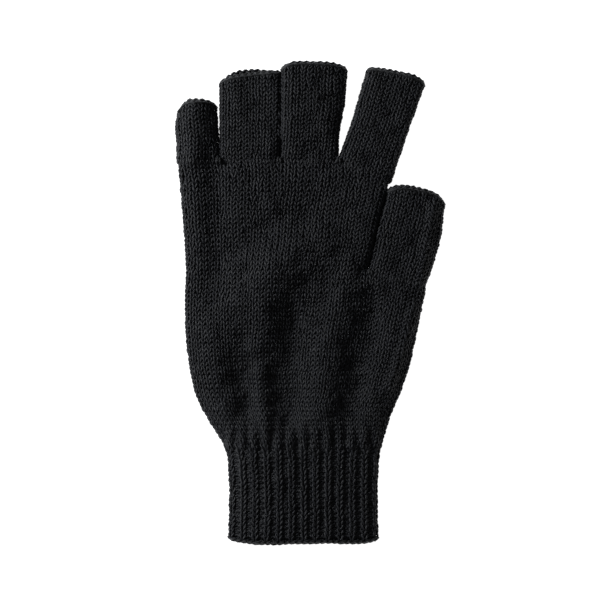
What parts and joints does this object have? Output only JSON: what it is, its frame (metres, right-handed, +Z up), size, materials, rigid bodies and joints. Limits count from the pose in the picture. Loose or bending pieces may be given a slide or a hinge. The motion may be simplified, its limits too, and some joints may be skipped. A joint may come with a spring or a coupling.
{
  "type": "fingerless knitted glove",
  "caption": "Fingerless knitted glove lying flat, with open-ended finger and thumb stalls, a plain knit hand and a ribbed elastic cuff.",
  "frame": {"origin": "middle of the glove's box, on the surface that it lies on", "axes": "+Y along the fingers, +X towards the thumb, +Z up out of the upper face"},
  "size_m": [0.113, 0.201, 0.011],
  "materials": {
    "plain_knit": "plain stockinette knit in black brushed yarn, matt with a faint fibre sheen",
    "rib_knit": "one-by-one rib knit in the same black yarn, springy and matt",
    "bound_off_yarn": "bound-off chain edge and closing stitches in the same yarn, slightly fuzzy",
    "elastic_thread": "thin covered rubber thread, matt black"
  },
  "bodies": {
    "hand": {"hand_upper": "plain_knit", "hand_lower": "plain_knit", "closing_stitch_little_ring": "bound_off_yarn", "closing_stitch_ring_middle": "bound_off_yarn", "closing_stitch_middle_index": "bound_off_yarn", "closing_stitch_thumb": "bound_off_yarn"},
    "cuff": {"rib_cuff": "rib_knit", "cuff_welt": "rib_knit", "cuff_elastic_1": "elastic_thread", "cuff_elastic_2": "elastic_thread", "cuff_elastic_3": "elastic_thread"},
    "little": {"little_stall": "plain_knit", "little_rim": "bound_off_yarn"},
    "ring": {"ring_stall": "plain_knit", "ring_rim": "bound_off_yarn"},
    "middle": {"middle_stall": "plain_knit", "middle_rim": "bound_off_yarn"},
    "index": {"index_stall": "plain_knit", "index_rim": "bound_off_yarn"},
    "thumb": {"thumb_stall": "plain_knit", "thumb_rim": "bound_off_yarn"}
  },
  "joints": [
    {"name": "little_fold", "type": "hinge", "parent": "hand", "child": "little", "pos_m": [-0.04703, 0.06, 0.009], "axis": [1, 0, 0], "range_deg": [0, 80]},
    {"name": "ring_fold", "type": "hinge", "parent": "hand", "child": "ring", "pos_m": [-0.02551, 0.06, 0.009], "axis": [1, 0, 0], "range_deg": [0, 80]},
    {"name": "middle_fold", "type": "hinge", "parent": "hand", "child": "middle", "pos_m": [-0.00051, 0.06, 0.009], "axis": [1, 0, 0], "range_deg": [0, 80]},
    {"name": "index_fold", "type": "hinge", "parent": "hand", "child": "index", "pos_m": [0.02339, 0.05591, 0.009], "axis": [0.9421, -0.3355, 0], "range_deg": [0, 80]},
    {"name": "thumb_fold", "type": "hinge", "parent": "hand", "child": "thumb", "pos_m": [0.037, 0.01066, 0.009], "axis": [0.9763, -0.2164, 0], "range_deg": [0, 70]},
    {"name": "cuff_fold", "type": "hinge", "parent": "hand", "child": "cuff", "pos_m": [-0.00271, -0.0585, 0.011], "axis": [-1, 0, 0], "range_deg": [0, 75]}
  ]
}
